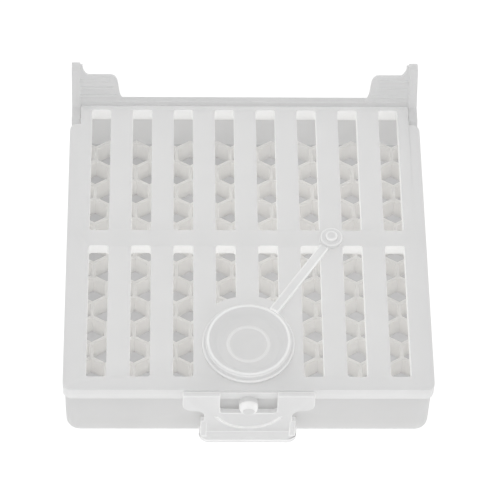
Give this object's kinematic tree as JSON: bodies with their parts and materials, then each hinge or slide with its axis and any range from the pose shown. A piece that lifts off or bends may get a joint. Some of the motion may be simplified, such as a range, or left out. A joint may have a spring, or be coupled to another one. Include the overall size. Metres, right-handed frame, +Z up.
{
  "type": "queen cage",
  "caption": "Shallow square moulded cage with a honeycomb floor, a slotted hinged lid, a latch tongue and a tethered round plug.",
  "frame": {"origin": "middle of the tray's flat rest face, under the crossing of its side-to-side and front-to-back centre lines", "axes": "+X along the lid's hinge to the right, +Y from the latch tongue at the front to the hinge at the back, +Z up through the lid"},
  "size_m": [0.08, 0.0887, 0.0249],
  "materials": {
    "natural_pp_tray": "moulded natural polypropylene, milky and translucent",
    "natural_pp_comb": "moulded natural polypropylene, thin cell walls",
    "natural_pp_lid": "moulded natural polypropylene, milky and translucent",
    "natural_pp_tongue": "moulded natural polypropylene, thin and springy",
    "natural_pp_plug": "moulded natural polypropylene, a little clearer"
  },
  "bodies": {
    "tray": {"tray_base": "natural_pp_tray", "comb_grid": "natural_pp_comb"},
    "lid": {"lid_grid": "natural_pp_lid", "strap_eye": "natural_pp_plug"},
    "tongue": {"latch_tongue": "natural_pp_tongue"},
    "cap": {"cap_plug": "natural_pp_plug", "strap": "natural_pp_plug"}
  },
  "joints": [
    {"name": "lid_hinge", "type": "hinge", "parent": "tray", "child": "lid", "pos_m": [0, 0.0362, 0.01575], "axis": [-1, 0, 0], "range_deg": [0, 98]},
    {"name": "latch_flex", "type": "hinge", "parent": "lid", "child": "tongue", "pos_m": [0, -0.04015, 0.0172], "axis": [-1, 0, 0], "range_deg": [0, 12], "stiffness_Nm_per_rad": 0.01},
    {"name": "plug_lift", "type": "hinge", "parent": "lid", "child": "cap", "pos_m": [0.01704, -0.00311, 0.01805], "axis": [-0.8284, 0.5602, 0], "range_deg": [0, 100]}
  ]
}
